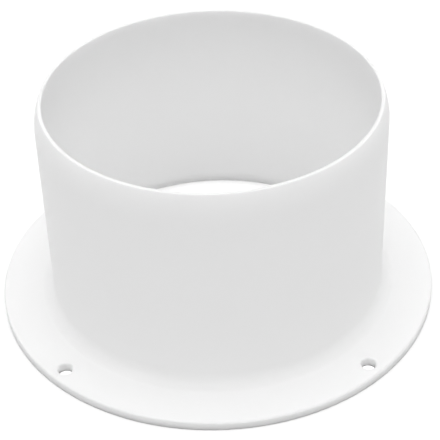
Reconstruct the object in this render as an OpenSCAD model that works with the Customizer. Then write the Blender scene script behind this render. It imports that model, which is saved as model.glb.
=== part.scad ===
// Wall flange for round ducting, moulded in one piece.
// A plain round flange is screwed to a wall. A short spigot stands on it, which the duct slides over.
// The frame: Z is the duct's axis, and the origin is the centre of the back face, which lies on the wall.

/* [Spigot] */
// Outside diameter of the spigot, which a 100 mm duct slides over
spigot_d = 98; // [80:1:150]
// Thickness of the spigot's wall
spigot_wall = 2.5; // [2:0.1:4]
// Height of the rim above the wall
rim_h = 65.5; // [40:0.5:120]

/* [Flange] */
// Width of the flange, from the spigot's outside to the flange's edge
flange_w = 15; // [13:0.5:25]
// Thickness of the flange
flange_t = 2.8; // [2:0.1:4]
// Radius of the fillet where the spigot stands on the flange
root_r = 3.4; // [1:0.1:4]

/* [Lead-in] */
// Height of the curved lead-in below the rim
lead_h = 7.25; // [3:0.05:8]
// Radius of the lead-in's curve, which touches the spigot's outside and draws the rim in
lead_r = 18.45; // [15:0.05:24.4]

/* [Screw holes] */
// Number of screw holes, spaced evenly round the flange
hole_count = 4; // [3:1:8]
// Diameter of a screw hole
hole_d = 4.2; // [3:0.1:5.5]
// Distance from a screw hole's centre to the flange's edge
hole_edge = 4.5; // [4:0.1:6]
// Radius of the round on a screw hole's front edge
hole_round = 0.5; // [0.2:0.1:0.8]

/* [Edges] */
// Radius of the round on the flange's front edge
front_round = 0.5; // [0.2:0.1:1.2]
// Radius of the round on the flange's back edge
back_round = 0.2; // [0.1:0.1:0.8]
// Radius of the rounds on the rim's two edges
rim_round = 0.25; // [0.1:0.05:0.3]

/* [Hidden] */

// How far a cutter reaches past the face that it cuts
over = 1;
spigot_r = spigot_d / 2;
bore_r = spigot_r - spigot_wall;
flange_r = spigot_r + flange_w;
// The throat runs round behind the fillet and keeps the wall's thickness there
throat_r = root_r + spigot_wall;
lead_c = [spigot_r - lead_r, rim_h - lead_h];
hole_circle_r = flange_r - hole_edge;

$fn = 180;

function polar(radius, angle) = radius * [cos(angle), sin(angle)];

// The sliver between an arc and the corner of the two lines that touch its ends.
// Added in an inside corner it is a fillet, and cut from an outside corner it is a round.
module corner(centre, radius, from, to) {
    reach = radius + over;
    half = (to - from) / 2;
    translate(centre)
        difference() {
            polygon([
                [0, 0],
                polar(reach, from),
                polar(reach / cos(half), from + half),
                polar(reach, to)
            ]);
            circle(r = radius);
        }
}

// Flange and spigot as two straight strips, with the fillet between them
module blank_section() {
    translate([bore_r, 0])
        square([flange_r - bore_r, flange_t]);
    translate([bore_r, 0])
        square([spigot_wall, rim_h]);
    corner([spigot_r + root_r, flange_t + root_r], root_r, 180, 270);
}

// What the lead-in arc takes off the outside of the spigot's end
module lead_in_cut() {
    difference() {
        translate(lead_c)
            square([lead_r + over, lead_h + over]);
        translate(lead_c)
            circle(r = lead_r);
    }
}

// The rounds on the rim, the outer one running tangent into the lead-in arc
module rim_rounds() {
    rise = lead_h - rim_round;
    run = sqrt(pow(lead_r - rim_round, 2) - pow(rise, 2));
    corner(lead_c + [run, rise], rim_round, atan2(rise, run), 90);
    corner([bore_r + rim_round, rim_h - rim_round], rim_round, 90, 180);
}

// The rounds on the flange's two edges
module flange_rounds() {
    corner([flange_r - front_round, flange_t - front_round], front_round, 0, 90);
    corner([flange_r - back_round, back_round], back_round, -90, 0);
}

// Half of the moulding's section, with the axis at x = 0
module wall_section() {
    difference() {
        blank_section();
        corner([bore_r + throat_r, throat_r], throat_r, 180, 270);
        lead_in_cut();
        rim_rounds();
        flange_rounds();
    }
}

// What one screw takes: a straight hole with a rounded front edge
module screw_hole() {
    translate([0, 0, -over])
        cylinder(d = hole_d, h = flange_t + 2 * over);
    rotate_extrude()
        corner([hole_d / 2 + hole_round, flange_t - hole_round], hole_round, 90, 180);
}

module screw_holes() {
    for (i = [0 : hole_count - 1])
        rotate(360 / hole_count * (i + 0.5))
            translate([hole_circle_r, 0, 0])
                screw_hole();
}

module wall_flange() {
    color("whitesmoke")
        difference() {
            rotate_extrude()
                wall_section();
            screw_holes();
        }
}

wall_flange();
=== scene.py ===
"""The look of the duct wall flange: one white moulding that stands on a white studio floor.

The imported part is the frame, and its one node keeps its shape. This script gives it its finish, and adds
the floor, the light of the room and the camera. All lengths are in metres, in the part's own frame.
"""

import math

import bpy
from mathutils import Matrix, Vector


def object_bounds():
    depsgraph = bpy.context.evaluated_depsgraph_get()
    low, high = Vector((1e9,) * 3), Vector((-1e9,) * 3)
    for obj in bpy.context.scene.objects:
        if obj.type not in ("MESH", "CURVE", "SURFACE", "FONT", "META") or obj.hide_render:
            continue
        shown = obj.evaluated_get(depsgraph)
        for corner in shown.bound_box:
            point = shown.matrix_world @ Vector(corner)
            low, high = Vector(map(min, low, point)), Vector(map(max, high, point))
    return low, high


NODE = "wall_flange"
MM = 0.001

# Camera: where it stands, how far it turns and looks down, its roll, and its lens on a 36 mm sensor
CAMERA_PLACE = (0.00955, -0.32009, 0.26369)
CAMERA_TURN = math.radians(1.482)
CAMERA_DIP = math.radians(37.085)
CAMERA_ROLL = math.radians(-2.012)
CAMERA_LENS = 111.98
SENSOR_WIDTH = 36.0

# Light of the room: a dome round the part, as heights on a sphere of radius 1.
# There is none below its foot, and it rises evenly to its full strength at its edge.
DOME_FOOT = 0.26
DOME_EDGE = 0.72
DOME_LIGHT = 1.58

# Floor: half its width and its own colour
FLOOR_HALF = 4.0
FLOOR_COLOUR = 0.70
# White that the floor adds where it is seen: under the part more, painted light over its shade; and in the
# open
PAINTED_FILL_LIFT = 0.68
OPEN_LIFT = 0.30
# Just inside the flange's edge, the width of the ring over which the one becomes the other
LIFT_FADE = 0.5 * MM

# White plastic: its colour, how far that drifts to either side, and how deep light scatters in it
PLASTIC_COLOUR = 0.92
COLOUR_DRIFT = 0.006
SCATTER_DEPTH = 3 * MM
# Its sheen: how rough it is, how far that drifts to either side, how it bends light, and its strength
PLASTIC_ROUGHNESS = 0.50
ROUGHNESS_DRIFT = 0.04
PLASTIC_IOR = 1.5
SHEEN_STRENGTH = 0.25
# The melt's flow, which colour and roughness drift with, and the mould's grain: size, octaves and depth
FLOW_LENGTH = 35 * MM
FLOW_OCTAVES = 2.0
GRAIN_LENGTH = 0.45 * MM
GRAIN_OCTAVES = 1.0
GRAIN_DEPTH = 0.002 * MM


def new_tree(owner):
    """The empty node tree of a material or a world."""
    owner.use_nodes = True
    owner.node_tree.nodes.clear()
    return owner.node_tree


def grey(value):
    """A neutral colour with full alpha."""
    return (value, value, value, 1.0)


def add_noise(tree, coordinates, length, octaves):
    """Smooth noise from 0 to 1 whose lumps are about length wide, on the object's own coordinates."""
    noise = tree.nodes.new("ShaderNodeTexNoise")
    noise.inputs["Scale"].default_value = 1 / length
    noise.inputs["Detail"].default_value = octaves
    tree.links.new(coordinates, noise.inputs["Vector"])
    return noise.outputs["Fac"]


def add_range(tree, value, low, high, start=0.0, end=1.0):
    """A value from start to end, mapped evenly to low to high and held there outside."""
    node = tree.nodes.new("ShaderNodeMapRange")
    node.inputs["From Min"].default_value = start
    node.inputs["From Max"].default_value = end
    node.inputs["To Min"].default_value = low
    node.inputs["To Max"].default_value = high
    tree.links.new(value, node.inputs["Value"])
    return node.outputs["Result"]


def white_plastic():
    """White plastic: a soft sheen, a faint drift along the melt's flow, and the mould's fine grain."""
    material = bpy.data.materials.new("white_plastic")
    tree = new_tree(material)
    shader = tree.nodes.new("ShaderNodeBsdfPrincipled")
    output = tree.nodes.new("ShaderNodeOutputMaterial")
    tree.links.new(shader.outputs["BSDF"], output.inputs["Surface"])
    shader.inputs["IOR"].default_value = PLASTIC_IOR
    shader.inputs["Specular IOR Level"].default_value = SHEEN_STRENGTH
    # All of its body colour comes from light that scatters inside it, equally deep in every colour
    shader.inputs["Subsurface Weight"].default_value = 1.0
    shader.inputs["Subsurface Radius"].default_value = (1.0, 1.0, 1.0)
    shader.inputs["Subsurface Scale"].default_value = SCATTER_DEPTH
    coordinates = tree.nodes.new("ShaderNodeTexCoord").outputs["Object"]

    flow = add_noise(tree, coordinates, FLOW_LENGTH, FLOW_OCTAVES)
    colour = tree.nodes.new("ShaderNodeMix")
    colour.data_type = "RGBA"
    colour.inputs["A"].default_value = grey(PLASTIC_COLOUR - COLOUR_DRIFT)
    colour.inputs["B"].default_value = grey(PLASTIC_COLOUR + COLOUR_DRIFT)
    tree.links.new(flow, colour.inputs["Factor"])
    tree.links.new(colour.outputs["Result"], shader.inputs["Base Color"])

    low = PLASTIC_ROUGHNESS - ROUGHNESS_DRIFT
    high = PLASTIC_ROUGHNESS + ROUGHNESS_DRIFT
    tree.links.new(add_range(tree, flow, low, high), shader.inputs["Roughness"])

    bump = tree.nodes.new("ShaderNodeBump")
    bump.inputs["Distance"].default_value = GRAIN_DEPTH
    grain = add_noise(tree, coordinates, GRAIN_LENGTH, GRAIN_OCTAVES)
    tree.links.new(grain, bump.inputs["Height"])
    tree.links.new(bump.outputs["Normal"], shader.inputs["Normal"])
    return material


def seen_directly(tree):
    """1 on rays from the camera, off gloss or through glass, and 0 on those that carry light to a surface."""
    path = tree.nodes.new("ShaderNodeLightPath")
    seen = path.outputs["Is Camera Ray"]
    for ray in ("Is Glossy Ray", "Is Transmission Ray"):
        either = tree.nodes.new("ShaderNodeMath")
        either.operation = "MAXIMUM"
        tree.links.new(seen, either.inputs[0])
        tree.links.new(path.outputs[ray], either.inputs[1])
        seen = either.outputs["Value"]
    return seen


def studio_white(flange_radius):
    """The floor: matt white that takes the shadow, lifted to the white of the backdrop where it is seen.

    The lift goes by the distance from the part's axis: less outside the flange's radius than under it, where
    the extra lift is painted light over the shade the part casts on the floor.
    """
    material = bpy.data.materials.new("studio_white")
    tree = new_tree(material)
    matt = tree.nodes.new("ShaderNodeBsdfDiffuse")
    matt.inputs["Color"].default_value = grey(FLOOR_COLOUR)

    distance = tree.nodes.new("ShaderNodeVectorMath")
    distance.operation = "LENGTH"
    coordinates = tree.nodes.new("ShaderNodeTexCoord").outputs["Object"]
    tree.links.new(coordinates, distance.inputs[0])
    # Painted light: under the flange the floor is lifted more, whitening the shade the part casts there
    fade_start = flange_radius - LIFT_FADE
    level = add_range(tree, distance.outputs["Value"], PAINTED_FILL_LIFT, OPEN_LIFT, fade_start, flange_radius)

    strength = tree.nodes.new("ShaderNodeMath")
    strength.operation = "MULTIPLY"
    tree.links.new(seen_directly(tree), strength.inputs[0])
    tree.links.new(level, strength.inputs[1])
    lift = tree.nodes.new("ShaderNodeEmission")
    tree.links.new(strength.outputs["Value"], lift.inputs["Strength"])

    both = tree.nodes.new("ShaderNodeAddShader")
    output = tree.nodes.new("ShaderNodeOutputMaterial")
    tree.links.new(matt.outputs["BSDF"], both.inputs[0])
    tree.links.new(lift.outputs["Emission"], both.inputs[1])
    tree.links.new(both.outputs["Shader"], output.inputs["Surface"])
    return material


def make_floor(flange_radius):
    """A wide square at the height of the part's back face."""
    half = FLOOR_HALF
    mesh = bpy.data.meshes.new("floor")
    square = [(-half, -half, 0), (half, -half, 0), (half, half, 0), (-half, half, 0)]
    mesh.from_pydata(square, [], [(0, 1, 2, 3)])
    mesh.materials.append(studio_white(flange_radius))
    floor = bpy.data.objects.new("floor", mesh)
    bpy.context.scene.collection.objects.link(floor)


def light_room():
    """The dome lights the part softly from above on all sides, and the backdrop is white where it is seen."""
    world = bpy.data.worlds.new("room")
    bpy.context.scene.world = world
    tree = new_tree(world)
    direction = tree.nodes.new("ShaderNodeTexCoord").outputs["Generated"]
    split = tree.nodes.new("ShaderNodeSeparateXYZ")
    tree.links.new(direction, split.inputs["Vector"])
    dome = tree.nodes.new("ShaderNodeBackground")
    dome.inputs["Color"].default_value = grey(1.0)
    strength = add_range(tree, split.outputs["Z"], 0.0, DOME_LIGHT, DOME_FOOT, DOME_EDGE)
    tree.links.new(strength, dome.inputs["Strength"])
    backdrop = tree.nodes.new("ShaderNodeBackground")
    backdrop.inputs["Color"].default_value = grey(1.0)
    either = tree.nodes.new("ShaderNodeMixShader")
    output = tree.nodes.new("ShaderNodeOutputWorld")
    tree.links.new(seen_directly(tree), either.inputs["Fac"])
    tree.links.new(dome.outputs["Background"], either.inputs[1])
    tree.links.new(backdrop.outputs["Background"], either.inputs[2])
    tree.links.new(either.outputs["Shader"], output.inputs["Surface"])


def place_camera():
    """A camera that looks down on the part from the front, as the photograph does."""
    data = bpy.data.cameras.new("camera")
    data.lens = CAMERA_LENS
    data.sensor_width = SENSOR_WIDTH
    camera = bpy.data.objects.new("camera", data)
    bpy.context.scene.collection.objects.link(camera)
    turn = Matrix.Rotation(CAMERA_TURN, 4, "Z")
    # A camera that isn't turned looks straight down, so its tilt counts from there up to the dip
    tilt = Matrix.Rotation(math.pi / 2 - CAMERA_DIP, 4, "X")
    roll = Matrix.Rotation(CAMERA_ROLL, 4, "Z")
    camera.matrix_world = Matrix.Translation(CAMERA_PLACE) @ turn @ tilt @ roll
    bpy.context.scene.camera = camera


def as_lists(bounds):
    """A box's lowest and highest corner as plain lists of numbers."""
    return [list(corner) for corner in bounds]


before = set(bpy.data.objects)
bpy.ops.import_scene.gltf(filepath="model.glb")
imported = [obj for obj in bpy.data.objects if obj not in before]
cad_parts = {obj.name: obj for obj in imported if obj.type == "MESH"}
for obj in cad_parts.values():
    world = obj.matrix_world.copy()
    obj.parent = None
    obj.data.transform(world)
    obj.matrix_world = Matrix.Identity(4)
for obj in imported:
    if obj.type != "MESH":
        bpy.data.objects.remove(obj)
cad_box = as_lists(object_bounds())
flange_radius = cad_box[1][0]

bpy.context.scene.view_settings.view_transform = "Standard"
place_camera()
light_room()
make_floor(flange_radius)

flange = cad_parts[NODE]
flange.material_slots[0].material = white_plastic()
